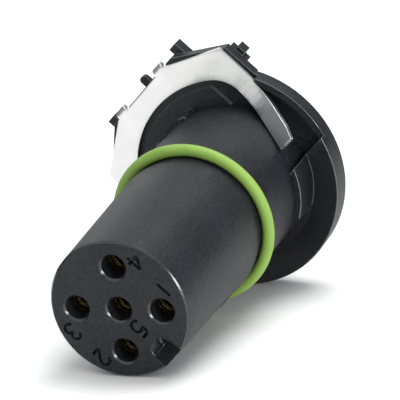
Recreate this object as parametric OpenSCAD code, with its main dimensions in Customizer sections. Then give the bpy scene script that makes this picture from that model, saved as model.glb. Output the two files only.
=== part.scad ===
// Round five-way socket insert for a circuit board: a moulded contact carrier
// and its flange, a sealing ring, a sprung shield clip and five turned contacts.
// The connector axis lies along Y, the mating face looks towards -Y, and the
// origin is on the axis in the plane of the board that the feet stand on.

/* [Mating plug] */
// Diameter of the plug at its mating face
plug_face_d = 8.1; // [7.8:0.05:8.5]
// Diameter of the plug at its root, in front of the ring groove
plug_root_d = 8.75; // [8.6:0.05:9.1]
// Length of the plug from mating face to ring groove
plug_len = 10.5; // [8:0.1:14]
// Chamfer round the mating face
plug_edge = 0.12; // [0.05:0.01:0.3]
// Width of the coding slot
key_w = 1.45; // [1.2:0.05:1.7]
// Depth of the coding slot, inwards from the edge of the mating face
key_depth = 0.9; // [0.5:0.05:1.1]
// Length of the coding slot along the plug
key_len = 7.5; // [4:0.1:7.8]
// Diameter of the round lead-in at the inner end of the coding slot
lead_d = 1.3; // [1:0.05:1.35]
// Depth of the lead-in below the mating face
lead_len = 1.3; // [0.8:0.05:1.5]
// Width of the slanted edge round the floor of the lead-in
lead_edge = 0.12; // [0.05:0.01:0.2]

/* [Sealing ring] */
// Thickness of the ring's round section
ring_section = 0.7; // [0.55:0.05:0.9]
// Diameter of the groove floor that the ring is stretched over
groove_d = 8.5; // [8.2:0.05:8.55]
// Free room in the groove in front of the ring
groove_room = 0.8; // [0.4:0.05:1.2]

/* [Barrel and flange] */
// Diameter of the barrel behind the ring
barrel_d = 9.25; // [9.1:0.05:9.8]
// Length of the barrel from ring groove to clip seat
barrel_len = 7.05; // [5.5:0.05:10]
// Thickness of the base plate under the clip
plate_t = 0.7; // [0.6:0.05:0.8]
// Length of the base plate's straight top edge
plate_edge = 6; // [5.6:0.1:6.2]
// How far that edge stands out past the clip
plate_lead = 0.06; // [0.04:0.01:0.12]
// Fall of the base plate's slanted corners
plate_fall = 2.05; // [1.9:0.05:2.2]
// Thickness of the boss behind the base plate
boss_t = 0.6; // [0.4:0.05:1]
// Thickness of the flange floor under the clip seat
flange_t = 0.5; // [0.3:0.05:0.6]
// Width of the flange rim
rim_w = 0.4; // [0.3:0.05:0.8]
// Height of the flange rim beside the clip, above the clip seat
rim_low = 0.65; // [0.5:0.05:0.9]
// Height of the flange rim on the coding side, above the clip seat
rim_high = 1.1; // [0.95:0.05:1.6]
// Height of the flange floor beside the collar on the coding side, above the clip seat
floor_high = 0.35; // [0.25:0.05:0.5]
// Width of the flat lands at the foot and the top of that side's sloped floor
floor_land = 0.1; // [0.05:0.01:0.2]
// Distance of the step in the flange from the axis
step_offset = 2.3; // [1.8:0.05:3]
// Width of the collar that stands round the barrel on the coding side
collar_w = 0.43; // [0.3:0.01:0.7]
// Height of that collar above the clip seat
collar_h = 2.7; // [1.5:0.05:3.5]
// Width of the opening in the middle of that collar
collar_open = 4.4; // [3.6:0.1:6]

/* [Clip hub] */
// Width of the hub across its flats
hub_w = 7.1; // [6.6:0.05:7.6]
// Height of the hub above the clip seat
hub_h = 0.2; // [0.1:0.05:0.5]
// Distance of the two key ribs on the hub from the middle line
rib_offset = 1.25; // [0.9:0.05:1.6]
// Width of each key rib
rib_w = 0.45; // [0.3:0.05:0.6]
// Height of the key ribs above the hub
rib_h = 1.3; // [0.8:0.05:2]
// How far the key ribs stand out from the barrel
rib_reach = 0.25; // [0.15:0.05:0.4]

/* [Shield clip] */
// Thickness of the clip's sheet metal
sheet_t = 0.3; // [0.2:0.05:0.4]
// Radius of the clip's round cut-out above the barrel
cutout_r = 6.2; // [6.1:0.05:6.35]
// Radius of the corners between that cut-out and the arms
corner_r = 2.2; // [1.6:0.1:2.8]
// Width of the band above the cut-out
band_w = 1.28; // [1.1:0.02:1.5]
// Width of each spring arm
arm_w = 1.18; // [1.1:0.01:1.25]
// Width of each spring arm at its tip
tip_w = 1; // [0.8:0.05:1.05]
// Length of the taper at the tip
tip_taper = 0.8; // [0.4:0.1:1.4]
// Length of the clip's straight top edge
top_edge = 4.9; // [4.7:0.1:5.2]
// Fall of the slanted corners, from the top edge to the arms
corner_fall = 1.78; // [1.6:0.02:1.9]
// Distance from the axis to where the arms begin to bend
bend_offset = 3.5; // [3.3:0.05:3.7]
// Angle by which the arms spring forward
arm_angle = 31; // [24:1:34]
// Straight length of each arm from the end of its bend to its tip
arm_len = 2.5; // [2:0.05:2.8]
// Inside radius of the long bend in the arms
bend_r = 4.5; // [3.8:0.1:5]
// Width of each lip at the top edge
lip_w = 0.8; // [0.6:0.05:0.9]
// Distance of each lip from the end of the top edge
lip_setback = 0.1; // [0.05:0.05:0.3]
// Inside radius of the bend in the lips
lip_r = 0.1; // [0.05:0.01:0.15]
// Straight length of the lips below their bend
lip_len = 0.1; // [0.05:0.05:0.3]

/* [Contacts] */
// Pitch circle of the four outer contacts
pitch_d = 5; // [4.8:0.05:5.2]
// Diameter of each pin entry in the mating face
entry_d = 1.36; // [1.3:0.02:1.5]
// Thickness of the wall that the pin entries pass through
entry_t = 1.4; // [1:0.05:1.6]
// Width of the slanted lip round each pin entry
entry_lip = 0.14; // [0.05:0.01:0.2]
// Outside diameter of a contact's socket tube
contact_d = 1.7; // [1.6:0.05:1.8]
// Diameter of the pin that a contact takes
pin_d = 1; // [0.9:0.05:1.1]
// Width of the slanted mouth of a contact
mouth_w = 0.12; // [0.06:0.02:0.24]
// Depth of the pin bore in a contact
bore_depth = 7; // [5:0.1:9]
// Width of the spring slot across the socket tube
slot_w = 0.2; // [0.15:0.05:0.3]
// Length of the spring slot
slot_len = 4.5; // [3:0.1:4.9]
// Width of the step from socket tube to collar
contact_step = 0.07; // [0.05:0.01:0.12]
// Length of a contact's collar
contact_collar = 2.2; // [1.5:0.1:4]
// Diameter of a contact's solder tail
tail_d = 0.8; // [0.6:0.05:1]
// Length of the solder tail below the board plane
tail_len = 2.8; // [2:0.1:4]

/* [Board feet] */
// Height of the feet that hold the base plate off the board
foot_h = 0.25; // [0.15:0.05:0.5]
// Width of each foot
foot_w = 0.6; // [0.5:0.05:0.8]
// Length of each foot, inwards from the edge that it stands at
foot_root = 1; // [0.7:0.05:1.2]
// Setback of the rear feet from the edge of the boss
foot_setback = 0.1; // [0.06:0.02:0.2]
// Distance of the top feet from the middle line
foot_x = 3; // [2.8:0.05:3.2]
// How far the side feet stand out past the edge of the base plate
side_reach = 0.28; // [0.1:0.02:0.4]
// Distance from the plate's slanted corner down to the side feet
side_foot_drop = 0.5; // [0.4:0.02:0.6]
// Distance from the plate's slanted corner down to the thicker lug over each side foot
lug_drop = 0.15; // [0.1:0.05:0.3]
// Length of that lug
lug_len = 1.35; // [1.2:0.05:1.5]
// Turn of the rear feet away from the coding slot
rear_foot_turn = 35; // [25:1:50]
// Setback of the boss from the inside of the flange rim
boss_setback = 0.9; // [0.6:0.05:1.2]
// How far the top feet stand out past the edge of the base plate
foot_reach = 0.4; // [0.3:0.05:0.6]
// Diameter of the locating peg between the top feet
peg_d = 0.54; // [0.4:0.02:0.8]
// Height of the peg above the board
peg_h = 0.4; // [0.3:0.05:0.6]
// How far the peg stands out past the edge of the base plate
peg_reach = 0.65; // [0.5:0.05:0.9]

/* [Clearances] */
// Gap between ring and groove
ring_gap = 0.02; // [0.01:0.01:0.05]
// Gap between a contact's collar and its chamber
contact_gap = 0.03; // [0.02:0.01:0.06]
// Gap between a contact's mouth and the wall in front of it
mouth_gap = 0.1; // [0.05:0.05:0.3]
// Gap round the hub inside the clip's cut-out
hub_gap = 0.4; // [0.2:0.05:0.5]
// Gap between barrel and spring arms
arm_gap = 0.075; // [0.05:0.025:0.15]
// Gap between spring arms and flange rim
rim_gap = 0.52; // [0.4:0.01:0.8]
// Gap between the roots of the arms and the ends of the rim beside them
side_gap = 0.15; // [0.1:0.05:0.2]
// Gap between the lips and the edge of the base plate
lip_gap = 0.2; // [0.1:0.01:0.3]

/* [Hidden] */
$fn = 96;

// Small overlap that keeps cuts and unions clean
bite = 0.02;
// Turn of the clip and coding slot against the contacts
clip_turn = 45;

// Heights above the board
seat_z = foot_h + boss_t + plate_t;
plate_z = seat_z - plate_t;
flange_z = seat_z - flange_t;
floor_z = seat_z + floor_high;
groove_z = seat_z + barrel_len;
root_z = groove_z + ring_section + 2 * ring_gap + groove_room;
face_z = root_z + plug_len;
hub_z = seat_z + hub_h;

// Outlines of clip and flange, in the plane of the clip: x across the arms,
// y from the coding slot towards the clip's top edge
arm_in = barrel_d / 2 + arm_gap;
arm_out = arm_in + arm_w;
clip_top = cutout_r + band_w;
corner_y = clip_top - corner_fall;
rim_in_r = arm_out + rim_gap;
flange_r = rim_in_r + rim_w;
collar_r = barrel_d / 2 + collar_w;
boss_r = rim_in_r - boss_setback;

// Where the outline of the clip's opening turns from the cut-out into the arms
corner_x = arm_in - corner_r;
corner_up = sqrt(pow(cutout_r - corner_r, 2) - corner_x * corner_x);
corner_turn = atan2(corner_up, corner_x);
// Lowest point of the arms' tips
tip_y = bend_offset - (bend_r + sheet_t) * sin(arm_angle) - arm_len * cos(arm_angle);

// Base plate: as wide as the room for the arms
plate_top = clip_top + plate_lead;
plate_corner = plate_top - plate_fall;
plate_half = arm_out + side_gap;
plate_end_y = sqrt(flange_r * flange_r - plate_half * plate_half);
rim_end_y = plate_end_y - rim_w / 2;

// Lips along the top edge
lip_x = top_edge / 2 - lip_setback - lip_w;

// Contact chambers
chamber_d = contact_d + 2 * (contact_step + contact_gap);
mouth_z = face_z - entry_t - mouth_gap;

function contact_spot(i) = i == 5
    ? [0, 0]
    : pitch_d / 2 * [cos(clip_turn - 90 * i), sin(clip_turn - 90 * i)];

// Points along an arc, without its two ends
function arc_points(centre, r, from, to, steps) =
    [for (k = [1:steps - 1]) let (a = from + (to - from) * k / steps) centre + r * [cos(a), sin(a)]];

// Turns a piece from the plane of the clip into its place on the Y axis
module in_place() {
    rotate([90, 0, 0]) rotate([0, 0, clip_turn]) children();
}

module mirrored_pair() {
    children();
    mirror([1, 0, 0]) children();
}

// Everything on the clip side of a line across the flange, between two heights
module clip_side(y, low, high) {
    reach = 2 * flange_r;
    translate([-reach, y, low]) cube([2 * reach, 2 * reach, high - low]);
}

// Turned core of the carrier, from the board side to the mating face
module turned_core() {
    rotate_extrude()
        polygon([[0, foot_h], [barrel_d / 2, foot_h],
                 [barrel_d / 2, groove_z], [groove_d / 2, groove_z],
                 [groove_d / 2, root_z], [plug_root_d / 2, root_z],
                 [plug_face_d / 2, face_z - plug_edge], [plug_face_d / 2 - plug_edge, face_z],
                 [0, face_z]]);
}

// Dished flange: low rim beside the clip, floor sloped up to a high edge on the coding side
module dished_flange() {
    rim_top = seat_z + rim_high + bite;
    slope_foot = collar_r + floor_land;
    slope_end = flange_r - floor_land;
    slope_h = rim_high - floor_high;
    translate([0, 0, foot_h]) cylinder(r = boss_r, h = flange_z + bite - foot_h);
    difference() {
        translate([0, 0, flange_z]) cylinder(r = flange_r, h = flange_t + rim_high);
        translate([0, 0, floor_z])
            cylinder(r1 = slope_foot, r2 = slope_end + bite * (slope_end - slope_foot) / slope_h,
                     h = slope_h + bite);
        intersection() {
            translate([0, 0, seat_z]) cylinder(r = rim_in_r, h = rim_high + bite);
            clip_side(-step_offset, seat_z, rim_top);
        }
        translate([-plate_half, 0, seat_z]) cube([2 * plate_half, flange_r, rim_high + bite]);
        clip_side(-step_offset, seat_z + rim_low, rim_top);
        clip_side(rim_end_y, seat_z, rim_top);
    }
}

// Two short pieces of collar round the barrel, from the step to the coding side
module coding_collar() {
    difference() {
        translate([0, 0, flange_z]) cylinder(r = collar_r, h = flange_t + collar_h);
        clip_side(-step_offset, flange_z - bite, seat_z + collar_h + bite);
        translate([-collar_open / 2, -flange_r, floor_z]) cube([collar_open, flange_r, collar_h]);
    }
}

// Hub inside the clip's cut-out, with flats beside the arms and two key ribs
module clip_hub() {
    hub_t = hub_z - flange_z;
    translate([0, 0, flange_z]) intersection() {
        cylinder(r = cutout_r - hub_gap, h = hub_t);
        translate([-hub_w / 2, 0, 0]) cube([hub_w, flange_r, hub_t]);
    }
    rib_t = hub_z + rib_h - flange_z;
    mirrored_pair() translate([0, 0, flange_z]) intersection() {
        cylinder(r = barrel_d / 2 + rib_reach, h = rib_t);
        translate([rib_offset - rib_w / 2, 0, 0]) cube([rib_w, flange_r, rib_t]);
    }
}

// Base plate behind the clip, with slanted corners and a notch for each lip of the clip
module base_plate() {
    translate([0, 0, plate_z]) linear_extrude(plate_t) difference() {
        polygon([[0, 0], [plate_half, plate_end_y], [plate_half, plate_corner], [plate_edge / 2, plate_top],
                 [-plate_edge / 2, plate_top], [-plate_half, plate_corner], [-plate_half, plate_end_y]]);
        mirrored_pair() translate([lip_x - lip_gap / 2, clip_top + lip_r - lip_gap])
            square([lip_w + lip_gap, plate_lead + lip_gap]);
    }
}

// Feet round the base plate, and the locating peg between the top ones
module board_feet() {
    mirrored_pair() {
        translate([foot_x, plate_top - foot_root, 0])
            cube([foot_w, foot_root + foot_reach, plate_z + bite]);
        translate([plate_half - foot_root, plate_corner - lug_drop - lug_len, foot_h])
            cube([foot_root, lug_len, plate_z + bite - foot_h]);
        translate([plate_half - foot_root, plate_corner - side_foot_drop - foot_w, 0])
            cube([foot_root + side_reach, foot_w, plate_z + bite]);
        rotate([0, 0, rear_foot_turn]) translate([-foot_w / 2, foot_setback - boss_r, 0])
            cube([foot_w, foot_root, foot_h + bite]);
    }
    translate([0, plate_top + peg_reach - peg_d / 2, 0]) cylinder(d = peg_d, h = peg_h);
    translate([-peg_d / 2, plate_top - foot_root, 0]) {
        cube([peg_d, foot_root + peg_reach - peg_d / 2, peg_h]);
        cube([peg_d, foot_root - foot_setback, plate_z + bite]);
    }
}

// Stepped chamber of one contact, with a lipped pin entry in the mating face
module contact_chamber(spot) {
    translate([spot[0], spot[1], 0]) {
        cylinder(d = chamber_d, h = face_z - entry_t);
        cylinder(d = entry_d, h = face_z + bite);
        translate([0, 0, face_z - entry_lip])
            cylinder(d1 = entry_d, d2 = entry_d + 2 * (entry_lip + bite), h = entry_lip + bite);
    }
}

// Coding slot down the side of the plug, with a round lead-in at the mating face
module coding_slot() {
    slot_y = key_depth - plug_face_d / 2;
    translate([-key_w / 2, slot_y - plug_root_d, face_z - key_len])
        cube([key_w, plug_root_d, key_len + bite]);
    translate([0, slot_y, face_z - lead_len]) {
        cylinder(d1 = lead_d - 2 * lead_edge, d2 = lead_d, h = lead_edge);
        translate([0, 0, lead_edge]) cylinder(d = lead_d, h = lead_len - lead_edge + bite);
    }
}

module contact_carrier() {
    color([0.16, 0.16, 0.17]) in_place() difference() {
        turned_core();
        for (i = [1:5]) contact_chamber(contact_spot(i));
        coding_slot();
    }
}

module mounting_flange() {
    color([0.13, 0.13, 0.14]) in_place() difference() {
        union() {
            dished_flange();
            coding_collar();
            clip_hub();
            base_plate();
            board_feet();
        }
        translate([0, 0, -bite]) cylinder(d = barrel_d, h = groove_z);
    }
}

module sealing_ring() {
    ring_r = groove_d / 2 + ring_gap + ring_section / 2;
    color([0.5, 0.72, 0.28]) in_place()
        translate([0, 0, groove_z + ring_gap + ring_section / 2])
            rotate_extrude() translate([ring_r, 0]) circle(d = ring_section);
}

// Side profile of a bent strip: it starts along +x and turns up by an angle
module bent_strip(inner_r, run, angle) {
    turn_r = inner_r + sheet_t;
    reach = 3 * turn_r;
    translate([-bite, 0]) square([bite, sheet_t]);
    translate([0, turn_r]) {
        intersection() {
            difference() {
                circle(r = turn_r);
                circle(r = inner_r);
            }
            translate([0, -reach]) square(reach);
            rotate(angle) translate([-reach, -reach]) square(reach);
        }
        rotate(angle) translate([0, -turn_r]) square([run, sheet_t]);
    }
}

// Outline of the clip seen along the axis, with its opening
module clip_outline() {
    difference() {
        polygon([[arm_in + tip_w, tip_y - bite], [arm_out, tip_y + tip_taper], [arm_out, corner_y],
                 [top_edge / 2, clip_top], [-top_edge / 2, clip_top],
                 [-arm_out, corner_y], [-arm_out, tip_y + tip_taper], [-arm_in - tip_w, tip_y - bite]]);
        polygon(concat([[arm_in, 2 * tip_y], [arm_in, corner_up]],
                       arc_points([corner_x, corner_up], corner_r, 0, corner_turn, 12),
                       arc_points([0, 0], cutout_r, corner_turn, 180 - corner_turn, 32),
                       arc_points([-corner_x, corner_up], corner_r, 180 - corner_turn, 180, 12),
                       [[-arm_in, corner_up], [-arm_in, 2 * tip_y]]));
    }
}

// Sheet of the clip before it is cut out: flat, then bent forward along the arms
module clip_sheet() {
    wide = arm_out + bite;
    translate([-wide, bend_offset, seat_z]) cube([2 * wide, clip_top, sheet_t]);
    translate([wide, bend_offset, seat_z]) rotate([90, 0, -90])
        linear_extrude(2 * wide) bent_strip(bend_r, arm_len, arm_angle);
}

// One lip at the top edge, bent back towards the base plate
module hook_lip() {
    translate([lip_x, clip_top, seat_z + sheet_t]) rotate([90, 0, 90])
        linear_extrude(lip_w) mirror([0, 1]) bent_strip(lip_r, lip_len, 90);
}

module shield_clip() {
    color([0.86, 0.86, 0.85]) in_place() {
        intersection() {
            clip_sheet();
            translate([0, 0, seat_z - bite]) linear_extrude(bend_r + arm_len) clip_outline();
        }
        mirrored_pair() hook_lip();
    }
}

// Turned socket contact: slotted tube with a slanted mouth, collar and solder tail
module socket_contact(i) {
    spot = contact_spot(i);
    color([0.78, 0.6, 0.28]) in_place() translate([spot[0], spot[1], 0]) difference() {
        union() {
            translate([0, 0, foot_h]) cylinder(d = contact_d, h = mouth_z - foot_h);
            translate([0, 0, foot_h]) cylinder(d = contact_d + 2 * contact_step, h = contact_collar);
            translate([0, 0, -tail_len]) cylinder(d = tail_d, h = tail_len + foot_h + bite);
        }
        translate([0, 0, mouth_z - bore_depth]) cylinder(d = pin_d, h = bore_depth + bite);
        translate([0, 0, mouth_z - mouth_w])
            cylinder(d1 = pin_d, d2 = pin_d + 2 * (mouth_w + bite), h = mouth_w + bite);
        translate([-slot_w / 2, -contact_d, mouth_z - slot_len])
            cube([slot_w, 2 * contact_d, slot_len + bite]);
    }
}

contact_carrier();
mounting_flange();
sealing_ring();
shield_clip();
for (i = [1:5]) socket_contact(i);
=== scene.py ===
import math

import bmesh
import bpy
from mathutils import Matrix, Vector

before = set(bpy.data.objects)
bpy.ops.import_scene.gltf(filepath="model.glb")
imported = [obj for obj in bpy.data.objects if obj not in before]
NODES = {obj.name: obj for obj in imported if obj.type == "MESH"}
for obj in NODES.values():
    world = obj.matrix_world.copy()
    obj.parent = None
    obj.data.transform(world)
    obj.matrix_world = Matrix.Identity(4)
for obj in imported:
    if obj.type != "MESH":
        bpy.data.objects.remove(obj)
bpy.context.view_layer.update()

MM = 0.001

# Places in the shared frame: the connector's axis is Y, its mating face looks towards -Y, and Z is up
FACE_Y = -20.64 * MM          # plane of the mating face
PLUG_R = 4.05 * MM            # edge of the mating face
RIM_R = 6.8 * MM              # outside of the flange
RIM_FRONT_Y = -2.65 * MM      # front of the flange's high rim
ACROSS = Vector((-1, 0, -1)).normalized()   # reading direction of the numbers on the mating face
UPWARD = Vector((1, 0, -1)).normalized()    # their upright, towards the coding slot
ARMS_UP = Vector((-1, 0, 1)).normalized()   # from the tips of the clip's arms towards its flat


# Helpers for nodes

NOISE_ROUGHNESS = 0.55


def group(name, inputs, outputs):
    """An empty shader node group with the named float sockets."""
    tree = bpy.data.node_groups.new(name, "ShaderNodeTree")
    for label, value in inputs.items():
        socket = tree.interface.new_socket(label, in_out="INPUT", socket_type="NodeSocketFloat")
        socket.default_value = value
    for label in outputs:
        tree.interface.new_socket(label, in_out="OUTPUT", socket_type="NodeSocketFloat")
    return tree, tree.nodes.new("NodeGroupInput"), tree.nodes.new("NodeGroupOutput")


def use(tree, nodes_group, **values):
    """Places a node group, with its own values."""
    node = tree.nodes.new("ShaderNodeGroup")
    node.node_tree = nodes_group
    for label, value in values.items():
        node.inputs[label].default_value = value
    return node


def math_node(tree, operation, a, b):
    """A math node whose two inputs are numbers or sockets."""
    node = tree.nodes.new("ShaderNodeMath")
    node.operation = operation
    for slot, value in zip(node.inputs, (a, b)):
        if isinstance(value, (int, float)):
            slot.default_value = value
        else:
            tree.links.new(value, slot)
    return node.outputs[0]


def dot_node(tree, vector, other):
    """The dot product of a socket's vector with another socket's or with a fixed one."""
    node = tree.nodes.new("ShaderNodeVectorMath")
    node.operation = "DOT_PRODUCT"
    tree.links.new(vector, node.inputs[0])
    if isinstance(other, Vector):
        node.inputs[1].default_value = other
    else:
        tree.links.new(other, node.inputs[1])
    return node.outputs["Value"]


def part_of(tree, vector, axis):
    """One of the X, Y and Z parts of a vector."""
    node = tree.nodes.new("ShaderNodeSeparateXYZ")
    tree.links.new(vector, node.inputs["Vector"])
    return node.outputs[axis]


def map_range(tree, value, to_low, to_high, from_low=0.0, from_high=1.0, interpolation="LINEAR"):
    """Maps a range of a value to another range."""
    node = tree.nodes.new("ShaderNodeMapRange")
    node.interpolation_type = interpolation
    node.inputs["From Min"].default_value = from_low
    node.inputs["From Max"].default_value = from_high
    node.inputs["To Min"].default_value = to_low
    node.inputs["To Max"].default_value = to_high
    tree.links.new(value, node.inputs["Value"])
    return node.outputs["Result"]


def place_of(tree):
    """A point's place on its own piece."""
    return tree.nodes.new("ShaderNodeTexCoord").outputs["Object"]


def stretched(tree, vector, scale, turn=(0, 0, 0)):
    """A place turned and stretched, for grain that runs one way."""
    node = tree.nodes.new("ShaderNodeMapping")
    node.inputs["Rotation"].default_value = turn
    node.inputs["Scale"].default_value = scale
    tree.links.new(vector, node.inputs["Vector"])
    return node.outputs["Vector"]


def noise(tree, vector, scale, detail):
    """Noise of a scale that is a number or a socket."""
    node = tree.nodes.new("ShaderNodeTexNoise")
    node.inputs["Detail"].default_value = detail
    node.inputs["Roughness"].default_value = NOISE_ROUGHNESS
    tree.links.new(vector, node.inputs["Vector"])
    if isinstance(scale, (int, float)):
        node.inputs["Scale"].default_value = scale
    else:
        tree.links.new(scale, node.inputs["Scale"])
    return node.outputs["Fac"]


def ramp(tree, factor, stops):
    """Colours at stops of a factor, blended in between."""
    node = tree.nodes.new("ShaderNodeValToRGB")
    band = node.color_ramp
    while len(band.elements) < len(stops):
        band.elements.new(0.5)
    for element, (place, colour) in zip(band.elements, stops):
        element.position = place
        element.color = (*colour, 1.0)
    tree.links.new(factor, node.inputs["Fac"])
    return node.outputs["Color"]


def mixed(tree, colour, factor, towards):
    """Mixes a colour towards another one by a factor."""
    node = tree.nodes.new("ShaderNodeMix")
    node.data_type = "RGBA"
    node.clamp_factor = True
    tree.links.new(factor, node.inputs["Factor"])
    tree.links.new(colour, node.inputs["A"])
    node.inputs["B"].default_value = (*towards, 1.0)
    return node.outputs["Result"]


def start_material(name, **constants):
    """A new material whose shader has the given constants on its own sockets."""
    material = bpy.data.materials.new(name)
    material.use_nodes = True
    tree = material.node_tree
    shader = tree.nodes["Principled BSDF"]
    for label, value in constants.items():
        shader.inputs[label.replace("_", " ")].default_value = value
    return material, tree, shader


def bump(tree, shader, height, depth):
    """Relief of a depth, from a 0 to 1 height."""
    node = tree.nodes.new("ShaderNodeBump")
    node.inputs["Distance"].default_value = depth
    tree.links.new(height, node.inputs["Height"])
    tree.links.new(node.outputs["Normal"], shader.inputs["Normal"])


# Effects that several materials share; scales of noise are in cells per metre

GRAIN_SCALE = 5500.0          # fine grain
MOTTLE_SCALE = 420.0          # slow mottling
SPECKLE_FINE, SPECKLE_SLOW = 0.65, 0.35     # shares of both in the speckle of the colour
EDGE_MASK_RADIUS = 0.08 * MM       # how far the edge mask reaches from an edge, for painted highlights and polish
EDGE_MASK_STRENGTH = 1.5
EDGE_MASK_SAMPLES = 6
HALF_SLANT = 0.5              # square of a 45 degree normal's part along the axis
SLANT_FALL = 3.0              # how fast the slant's mask falls off on both sides


def make_grain():
    """Fine spark-eroded grain: height for the bump, speckle for the colour, slow mottle for the gloss."""
    tree, given, out = group("mould_grain", {"Size": GRAIN_SCALE}, ("Height", "Speckle", "Mottle"))
    place = place_of(tree)
    fine = noise(tree, place, given.outputs["Size"], detail=2.0)
    slow = noise(tree, place, MOTTLE_SCALE, detail=4.0)
    speckle = math_node(tree, "ADD", math_node(tree, "MULTIPLY", fine, SPECKLE_FINE),
                        math_node(tree, "MULTIPLY", slow, SPECKLE_SLOW))
    tree.links.new(fine, out.inputs["Height"])
    tree.links.new(speckle, out.inputs["Speckle"])
    tree.links.new(slow, out.inputs["Mottle"])
    return tree


def make_edge():
    """How near a point lies to a sharp edge, 0 on open faces: a mask for painted edge highlights and for
    smoother rounded edges.
    """
    sockets = {"Radius": EDGE_MASK_RADIUS, "Strength": EDGE_MASK_STRENGTH}
    tree, given, out = group("edge_highlight_and_polish_mask", sockets, ("EdgeNearness",))
    bevel = tree.nodes.new("ShaderNodeBevel")
    bevel.samples = EDGE_MASK_SAMPLES
    tree.links.new(given.outputs["Radius"], bevel.inputs["Radius"])
    plain = tree.nodes.new("ShaderNodeNewGeometry")
    same = dot_node(tree, bevel.outputs["Normal"], plain.outputs["Normal"])
    away = math_node(tree, "SUBTRACT", 1.0, same)
    edge_highlight = math_node(tree, "MULTIPLY", away, given.outputs["Strength"])
    tree.links.new(edge_highlight, out.inputs["EdgeNearness"])
    return tree


def make_slant():
    """1 on faces that stand at 45 degrees to the connector's axis: lips, chamfers and slanted edges."""
    tree, _, out = group("slanted_edge", {}, ("Slant",))
    along = part_of(tree, tree.nodes.new("ShaderNodeNewGeometry").outputs["Normal"], "Y")
    square = math_node(tree, "MULTIPLY", along, along)
    off = math_node(tree, "ABSOLUTE", math_node(tree, "SUBTRACT", square, HALF_SLANT), 0.0)
    slant = math_node(tree, "SUBTRACT", 1.0, math_node(tree, "MULTIPLY", off, SLANT_FALL))
    tree.links.new(math_node(tree, "MAXIMUM", slant, 0.0), out.inputs["Slant"])
    return tree


GRAIN = make_grain()
EDGE = make_edge()
SLANT = make_slant()


# Materials: tones are colours at stops of a noise, roughness runs from smooth to matte

MOULD_LIGHT = (0.016, 0.017, 0.022)
MOULD_TONES = [(0.36, (0.0045, 0.005, 0.007)), (0.64, MOULD_LIGHT)]
MOULD_GLOSS = 0.33
MOULD_ROUGHNESS = 0.44, 0.56
MOULD_COAT_ROUGHNESS = 0.2
MOULD_POLISH = 0.34           # how much smoother the moulding is on edges and slanted faces
MOULD_RELIEF = 0.03 * MM
CARRIER_SLANT_HIGHLIGHT = 0.0        # how strongly a highlight is painted on slanted faces
FLANGE_SLANT_HIGHLIGHT = 0.8
HIGHLIGHT_GAIN, HIGHLIGHT_LIFT = 3.0, 0.03            # painted highlight on edges, against the moulding's light tone
SLANT_HIGHLIGHT_LIFT = 0.2               # how much the painted highlight on slanted faces adds to them
RUBBER_TONES = [(0.25, (0.205, 0.355, 0.06)), (0.75, (0.265, 0.435, 0.087))]
RUBBER_GLOSS = 0.35
RUBBER_ROUGHNESS = 0.42, 0.6
RUBBER_GRAIN_SCALE = 5000.0
RUBBER_RELIEF = 0.006 * MM
TIN_TONES = [(0.3, (0.70, 0.70, 0.695)), (0.7, (0.78, 0.78, 0.775))]
# painted highlight colour for the clip's sheared edges
TIN_EDGE_HIGHLIGHT = (0.9, 0.9, 0.89)
TIN_HIGHLIGHT_RADIUS = 0.06 * MM
TIN_ROUGHNESS = 0.27, 0.37
TIN_CLOUD_SCALE = 700.0
ROLLING_TURN = (0, math.radians(45), 0)     # the rolling lines run along the strip that the clip is cut from
ROLLING_STRETCH = (1.0, 1.0, 0.06)
ROLLING_SCALE = 16000.0
METAL_RELIEF = 0.004 * MM
GOLD_TONES = [(0.3, (0.70, 0.48, 0.18)), (0.7, (0.82, 0.58, 0.24))]
GOLD_ROUGHNESS = 0.2, 0.3
GOLD_CLOUD_SCALE = 900.0
TURNING_STRETCH = (0.02, 1.0, 0.02)         # tool rings lie across the axis
TURNING_SCALE = 14000.0
DIP_COLOUR = (0.72, 0.72, 0.71)             # tin on the solder tails
DIP_FROM_Y, DIP_FULL_Y = 0.5 * MM, 0.9 * MM # planes where it begins and where it covers the gold
PAPER_TONES = [(0.3, (0.90, 0.90, 0.90)), (0.7, (0.92, 0.92, 0.92))]
PAPER_GLOSS = 0.1
PAPER_ROUGHNESS = 0.85, 0.95
PAPER_TOOTH_SCALE = 60.0


def moulding_material(name, slant_highlight):
    """Black glass-filled moulding: fine matte grain, slow mottling and smooth edges, with a painted
    highlight on edges and slanted faces.
    """
    material, tree, shader = start_material(name, Specular_IOR_Level=MOULD_GLOSS,
                                            Coat_Roughness=MOULD_COAT_ROUGHNESS)
    grain = use(tree, GRAIN)
    edge_nearness = use(tree, EDGE).outputs["EdgeNearness"]
    slant = use(tree, SLANT).outputs["Slant"]
    colour = ramp(tree, grain.outputs["Speckle"], MOULD_TONES)
    # painted highlight: edges, and slanted faces by their share, are mixed towards a paler colour
    painted_highlight = math_node(tree, "MAXIMUM", edge_nearness, math_node(tree, "MULTIPLY", slant, slant_highlight))
    edge_highlight = [HIGHLIGHT_GAIN * part + HIGHLIGHT_LIFT + SLANT_HIGHLIGHT_LIFT * slant_highlight for part in MOULD_LIGHT]
    colour = mixed(tree, colour, painted_highlight, edge_highlight)
    matte = map_range(tree, grain.outputs["Mottle"], *MOULD_ROUGHNESS)
    smooth = math_node(tree, "MINIMUM", math_node(tree, "MAXIMUM", edge_nearness, slant), 1.0)
    polish = math_node(tree, "MULTIPLY", smooth, MOULD_POLISH)
    tree.links.new(colour, shader.inputs["Base Color"])
    tree.links.new(slant, shader.inputs["Coat Weight"])
    tree.links.new(math_node(tree, "SUBTRACT", matte, polish), shader.inputs["Roughness"])
    bump(tree, shader, grain.outputs["Height"], MOULD_RELIEF)
    return material


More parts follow.
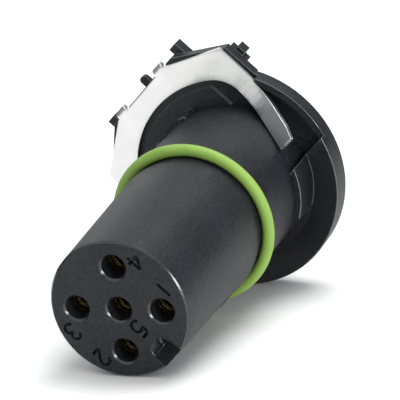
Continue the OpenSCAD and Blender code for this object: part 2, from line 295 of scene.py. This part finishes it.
def rubber_material():
    """Green sealing rubber: satin, faintly mottled, with fine dust-dull patches."""
    material, tree, shader = start_material("sealing_rubber", Specular_IOR_Level=RUBBER_GLOSS)
    grain = use(tree, GRAIN, Size=RUBBER_GRAIN_SCALE)
    mottle = grain.outputs["Mottle"]
    tree.links.new(ramp(tree, mottle, RUBBER_TONES), shader.inputs["Base Color"])
    tree.links.new(map_range(tree, mottle, *RUBBER_ROUGHNESS), shader.inputs["Roughness"])
    bump(tree, shader, grain.outputs["Height"], RUBBER_RELIEF)
    return material


def sheet_material():
    """Tinned sheet steel: rolling lines along the strip, cloudy tin and a painted highlight on its sheared
    edges.
    """
    material, tree, shader = start_material("tinned_sheet", Metallic=1.0)
    place = place_of(tree)
    lines = noise(tree, stretched(tree, place, ROLLING_STRETCH, ROLLING_TURN), ROLLING_SCALE, detail=2.0)
    cloud = noise(tree, place, TIN_CLOUD_SCALE, detail=4.0)
    edge_nearness = use(tree, EDGE, Radius=TIN_HIGHLIGHT_RADIUS).outputs["EdgeNearness"]
    # painted highlight: the sheared edges are mixed towards a brighter tin colour
    colour = mixed(tree, ramp(tree, cloud, TIN_TONES), edge_nearness, TIN_EDGE_HIGHLIGHT)
    tree.links.new(colour, shader.inputs["Base Color"])
    tree.links.new(map_range(tree, cloud, *TIN_ROUGHNESS), shader.inputs["Roughness"])
    bump(tree, shader, lines, METAL_RELIEF)
    return material


def plated_material():
    """Turned and gold-plated brass: fine tool rings round the tube, tinned towards the board."""
    material, tree, shader = start_material("plated_brass", Metallic=1.0)
    place = place_of(tree)
    rings = noise(tree, stretched(tree, place, TURNING_STRETCH), TURNING_SCALE, detail=1.5)
    cloud = noise(tree, place, GOLD_CLOUD_SCALE, detail=3.0)
    dipped = map_range(tree, part_of(tree, place, "Y"), 0.0, 1.0, DIP_FROM_Y, DIP_FULL_Y)
    colour = mixed(tree, ramp(tree, cloud, GOLD_TONES), dipped, DIP_COLOUR)
    tree.links.new(colour, shader.inputs["Base Color"])
    tree.links.new(map_range(tree, cloud, *GOLD_ROUGHNESS), shader.inputs["Roughness"])
    bump(tree, shader, rings, METAL_RELIEF)
    return material


def floor_material():
    """Pale paper floor."""
    material, tree, shader = start_material("paper_floor", Specular_IOR_Level=PAPER_GLOSS)
    tooth = noise(tree, place_of(tree), PAPER_TOOTH_SCALE, detail=2.0)
    tree.links.new(ramp(tree, tooth, PAPER_TONES), shader.inputs["Base Color"])
    tree.links.new(map_range(tree, tooth, *PAPER_ROUGHNESS), shader.inputs["Roughness"])
    return material


# Edges and the clip's soft bend

CARRIER_EDGE = 0.03 * MM      # widths of the small rounded edges
FLANGE_EDGE = 0.08 * MM
CLIP_EDGE = 0.04 * MM
EDGE_SEGMENTS = 3
EDGE_ANGLE = math.radians(30)     # edges that turn by more are rounded
CRISP_ANGLE = math.radians(42)    # edges that turn by more stay sharp in shading
FLAT_ANGLE = math.radians(0.4)    # faces that turn by less become one face
WELD_GAP = 0.001 * MM
EVEN_WEIGHT = 100             # large faces rule the shading of small ones
FLANGE_FRONT_Y = -2.3 * MM    # the flange's edges in front of this plane get the full width
FINE_SHARE = 0.35             # share of it on its other edges
BEND_START = 5.2 * MM         # place along ARMS_UP, from the axis, where the clip's flat begins to lift
BEND_END = 2.6 * MM           # place along ARMS_UP where it is fully lifted
BEND_RISE = 0.16 * MM         # how far it is lifted there, towards -Y
BEND_LEVEL = 2                # how often the clip's faces are divided to bend smoothly


def geometry_group(name):
    """An empty geometry node group, with its geometry's way in and way out."""
    tree = bpy.data.node_groups.new(name, "GeometryNodeTree")
    for way in ("INPUT", "OUTPUT"):
        tree.interface.new_socket("Geometry", in_out=way, socket_type="NodeSocketGeometry")
    return tree, tree.nodes.new("NodeGroupInput").outputs[0], tree.nodes.new("NodeGroupOutput").inputs[0]


def make_crisp():
    """Keeps edges sharp in shading where their faces meet at a wide angle."""
    tree, given, out = geometry_group("crisp_edges")
    turn = tree.nodes.new("GeometryNodeInputMeshEdgeAngle")
    steep = tree.nodes.new("FunctionNodeCompare")
    steep.operation = "GREATER_THAN"
    steep.inputs["B"].default_value = CRISP_ANGLE
    shade = tree.nodes.new("GeometryNodeSetShadeSmooth")
    shade.domain = "EDGE"
    shade.inputs["Shade Smooth"].default_value = False
    tree.links.new(turn.outputs["Unsigned Angle"], steep.inputs["A"])
    tree.links.new(given, shade.inputs["Geometry"])
    tree.links.new(steep.outputs["Result"], shade.inputs["Selection"])
    tree.links.new(shade.outputs["Geometry"], out)
    return tree


def make_widths():
    """Full rounding on the flange's front edges, and a fine share of it on the others."""
    tree, given, out = geometry_group("rounding_widths")
    ends = tree.nodes.new("GeometryNodeInputMeshEdgeVertices")
    along = [part_of(tree, ends.outputs[label], "Y") for label in ("Position 1", "Position 2")]
    ahead = math_node(tree, "LESS_THAN", math_node(tree, "MAXIMUM", *along), FLANGE_FRONT_Y)
    share = math_node(tree, "MAXIMUM", ahead, FINE_SHARE)
    turn = tree.nodes.new("GeometryNodeInputMeshEdgeAngle")
    steep = math_node(tree, "GREATER_THAN", turn.outputs["Unsigned Angle"], EDGE_ANGLE)
    store = tree.nodes.new("GeometryNodeStoreNamedAttribute")
    store.data_type = "FLOAT"
    store.domain = "EDGE"
    store.inputs["Name"].default_value = "bevel_weight_edge"
    tree.links.new(math_node(tree, "MULTIPLY", share, steep), store.inputs["Value"])
    tree.links.new(given, store.inputs["Geometry"])
    tree.links.new(store.outputs["Geometry"], out)
    return tree


def make_soft_bend():
    """Lets the clip's flat lift softly off its seat before the bend of its arms."""
    tree, given, out = geometry_group("soft_bend")
    place = tree.nodes.new("GeometryNodeInputPosition").outputs["Position"]
    height = dot_node(tree, place, ARMS_UP)
    lift = map_range(tree, height, -BEND_RISE, 0.0, BEND_END, BEND_START, "SMOOTHSTEP")
    shift = tree.nodes.new("ShaderNodeCombineXYZ")
    cut = tree.nodes.new("GeometryNodeTriangulate")
    finer = tree.nodes.new("GeometryNodeSubdivideMesh")
    finer.inputs["Level"].default_value = BEND_LEVEL
    move = tree.nodes.new("GeometryNodeSetPosition")
    tree.links.new(lift, shift.inputs["Y"])
    tree.links.new(given, cut.inputs["Mesh"])
    tree.links.new(cut.outputs["Mesh"], finer.inputs["Mesh"])
    tree.links.new(finer.outputs["Mesh"], move.inputs["Geometry"])
    tree.links.new(shift.outputs["Vector"], move.inputs["Offset"])
    tree.links.new(move.outputs["Geometry"], out)
    return tree


CRISP = make_crisp()


def dress(node, material, edge=0.0, widths=None, cutter=None, bend=None):
    """Gives a CAD piece its material, small rounded edges, what is sunk into it and its soft bend."""
    piece = NODES[node]
    piece.data.materials.clear()
    piece.data.materials.append(material)
    weld = piece.modifiers.new("joined_faces", "WELD")
    weld.merge_threshold = WELD_GAP
    flat = piece.modifiers.new("whole_faces", "DECIMATE")
    flat.decimate_type = "DISSOLVE"
    flat.angle_limit = FLAT_ANGLE
    if widths:
        piece.modifiers.new("rounding_widths", "NODES").node_group = widths
    if edge:
        rounded = piece.modifiers.new("rounded_edges", "BEVEL")
        rounded.width = edge
        rounded.segments = EDGE_SEGMENTS
        rounded.use_clamp_overlap = False
        rounded.limit_method = "WEIGHT" if widths else "ANGLE"
        rounded.angle_limit = EDGE_ANGLE
    if cutter:
        sunk = piece.modifiers.new("sunk_marks", "BOOLEAN")
        sunk.operation = "DIFFERENCE"
        sunk.solver = "EXACT"
        sunk.use_self = True
        sunk.object = cutter
    if bend:
        piece.modifiers.new("soft_bend", "NODES").node_group = bend
    piece.modifiers.new("crisp_edges", "NODES").node_group = CRISP
    shade = piece.modifiers.new("even_shading", "WEIGHTED_NORMAL")
    shade.weight = EVEN_WEIGHT
    shade.keep_sharp = True


# Numbers at the contacts

STROKES = {    # strokes of each number: across and up from its foot, for a height of 1
    "1": [[(0, 0), (0, 1)]],
    "2": [[(-0.28, 0.72), (-0.25, 0.88), (-0.1, 0.99), (0.1, 0.99), (0.26, 0.87), (0.28, 0.7),
           (0.18, 0.5), (-0.06, 0.24), (-0.3, 0)],
          [(-0.3, 0), (0.3, 0)]],
    "3": [[(-0.27, 0.85), (-0.1, 0.99), (0.12, 0.99), (0.27, 0.85), (0.27, 0.68), (0.14, 0.55),
           (-0.06, 0.53)],
          [(-0.06, 0.53), (0.16, 0.5), (0.3, 0.34), (0.3, 0.17), (0.14, 0.01), (-0.12, 0.01),
           (-0.3, 0.16)]],
    "4": [[(0.12, 0), (0.12, 1)], [(0.12, 1), (-0.38, 0.34)], [(-0.38, 0.34), (0.38, 0.34)]],
    "5": [[(0.3, 1), (-0.22, 1)], [(-0.22, 1), (-0.28, 0.53)],
          [(-0.28, 0.53), (-0.08, 0.64), (0.12, 0.63), (0.28, 0.48), (0.3, 0.28), (0.2, 0.07), (0, 0),
           (-0.2, 0.04), (-0.3, 0.17)]],
}
NUMBER_FEET = {    # foot of each number from the middle of the mating face: across and up, in mm
    "1": (-2.9, 0.57), "2": (3.07, 0.57), "3": (3.07, -1.57), "4": (-3.0, -1.57), "5": (0.03, 1.0),
}
NUMBER_H = 0.98 * MM          # height of the numbers
STROKE_R = 0.105 * MM         # half the width of their strokes
STROKE_DEPTH = 0.24 * MM      # depth of their strokes
STROKE_ROUNDING = 2           # fineness of the strokes' round bottoms
CURVE_STEPS = 6               # points on a curve between two given ones


def smooth_path(points):
    """Points on a Catmull-Rom curve through the given ones; a line of two points stays straight."""
    if len(points) < 3:
        return points
    ends = [points[0]] + points + [points[-1]]
    path = []
    for a, b, c, d in zip(ends, ends[1:], ends[2:], ends[3:]):
        for step in range(CURVE_STEPS):
            t = step / CURVE_STEPS
            path.append(0.5 * (2 * b + (c - a) * t + (2 * a - 5 * b + 4 * c - d) * t ** 2
                               + (3 * b - a - 3 * c + d) * t ** 3))
    return path + [points[-1]]


def make_numbers():
    """Round-bottomed strokes of the five numbers, to be sunk into the mating face."""
    curve = bpy.data.curves.new("number_strokes", "CURVE")
    curve.dimensions = "3D"
    curve.bevel_depth = STROKE_R
    curve.bevel_resolution = STROKE_ROUNDING
    curve.use_fill_caps = True
    for name, strokes in STROKES.items():
        across, up = NUMBER_FEET[name]
        foot = ACROSS * across * MM + UPWARD * up * MM + Vector((0, FACE_Y, 0))
        for stroke in strokes:
            path = smooth_path([foot + NUMBER_H * (ACROSS * a + UPWARD * b) for a, b in stroke])
            line = curve.splines.new("POLY")
            line.points.add(len(path) - 1)
            for point, place in zip(line.points, path):
                point.co = (*place, 1.0)
    shape = bpy.data.objects.new("number_curve", curve)
    bpy.context.scene.collection.objects.link(shape)
    solid = shape.evaluated_get(bpy.context.evaluated_depsgraph_get())
    mesh = bpy.data.meshes.new_from_object(solid)
    bpy.data.objects.remove(shape)
    for point in mesh.vertices:
        point.co.y = FACE_Y + (point.co.y - FACE_Y) * STROKE_DEPTH / STROKE_R
    numbers = bpy.data.objects.new("number_strokes", mesh)
    bpy.context.scene.collection.objects.link(numbers)
    numbers.hide_render = True
    return numbers


# The pieces

CONTACT_COUNT = 5
CARRIER_MOULDING = moulding_material("carrier_moulding", CARRIER_SLANT_HIGHLIGHT)
FLANGE_MOULDING = moulding_material("flange_moulding", FLANGE_SLANT_HIGHLIGHT)
PLATED = plated_material()
dress("contact_carrier", CARRIER_MOULDING, CARRIER_EDGE, cutter=make_numbers())
dress("mounting_flange", FLANGE_MOULDING, FLANGE_EDGE, widths=make_widths())
dress("sealing_ring", rubber_material())
dress("shield_clip", sheet_material(), CLIP_EDGE, bend=make_soft_bend())
for number in range(1, CONTACT_COUNT + 1):
    dress("contact_%d" % number, PLATED)


# Floor, light and camera

FLOOR_HALF = 0.2
FLOOR_CELLS = 8
LIGHT_AIM = Vector((0, -0.008, 0))
TENT = [    # brightness of the white tent by the height of the direction, dim at the horizon
    (0.1, (0.10, 0.10, 0.11)),
    (0.4, (0.35, 0.36, 0.38)),
    (0.75, (1.0, 1.0, 1.0)),
]
TENT_STRENGTH = 1.0
SOFTBOXES = [    # name, place, width, height and power
    ("top_softbox", (0.07, 0.08, 0.28), 0.20, 0.20, 0.65),
    ("right_softbox", (0.25, -0.15, 0.055), 0.08, 0.13, 0.5),
    ("back_softbox", (-0.18, 0.26, 0.08), 0.2, 0.2, 0.13),
]
LENS, SENSOR_WIDTH = 240.98, 36.0           # the camera is fitted to the photograph
CLIP_START, CLIP_END = 0.01, 10.0
EYE = Vector((56.9, -140.59, 59.01)) * MM
VIEW_RIGHT = Vector((0.9309, 0.3428, -0.12612))
VIEW_DOWN = Vector((0.02014, -0.39295, -0.91934))
VIEW_AHEAD = Vector((-0.36471, 0.85328, -0.3727))


def make_floor():
    """A floor that the flange's rim and the mating face's edge both lie on."""
    bm = bmesh.new()
    bmesh.ops.create_grid(bm, x_segments=FLOOR_CELLS, y_segments=FLOOR_CELLS, size=FLOOR_HALF)
    mesh = bpy.data.meshes.new("floor")
    bm.to_mesh(mesh)
    bm.free()
    floor = bpy.data.objects.new("floor", mesh)
    bpy.context.scene.collection.objects.link(floor)
    mesh.materials.append(floor_material())
    fall = math.atan2(RIM_R - PLUG_R, RIM_FRONT_Y - FACE_Y)
    floor.location = (0, FACE_Y, -PLUG_R)
    floor.rotation_euler = (-fall, 0, 0)


def softbox(name, place, width, height, power):
    """A round soft light that looks at the part."""
    light = bpy.data.lights.new(name, "AREA")
    light.shape = "ELLIPSE"
    light.size = width
    light.size_y = height
    light.energy = power
    lamp = bpy.data.objects.new(name, light)
    lamp.location = place
    lamp.rotation_euler = (LIGHT_AIM - Vector(place)).to_track_quat("-Z", "Y").to_euler()
    bpy.context.scene.collection.objects.link(lamp)


def make_light():
    """White tent with a dim band at the horizon, and softboxes above, at the front right and behind."""
    world = bpy.data.worlds.new("studio")
    bpy.context.scene.world = world
    world.use_nodes = True
    tree = world.node_tree
    height = part_of(tree, tree.nodes.new("ShaderNodeTexCoord").outputs["Generated"], "Z")
    background = tree.nodes["Background"]
    tree.links.new(ramp(tree, height, TENT), background.inputs["Color"])
    background.inputs["Strength"].default_value = TENT_STRENGTH
    for row in SOFTBOXES:
        softbox(*row)


def make_camera():
    """The photograph's camera."""
    camera = bpy.data.cameras.new("photo_camera")
    camera.lens = LENS
    camera.sensor_width = SENSOR_WIDTH
    camera.clip_start = CLIP_START
    camera.clip_end = CLIP_END
    turn = Matrix((VIEW_RIGHT, -VIEW_DOWN, -VIEW_AHEAD)).transposed()
    eye = bpy.data.objects.new("photo_camera", camera)
    eye.matrix_world = Matrix.Translation(EYE) @ turn.to_4x4()
    bpy.context.scene.collection.objects.link(eye)
    bpy.context.scene.camera = eye


make_floor()
make_light()
make_camera()
bpy.context.scene.view_settings.view_transform = "Standard"
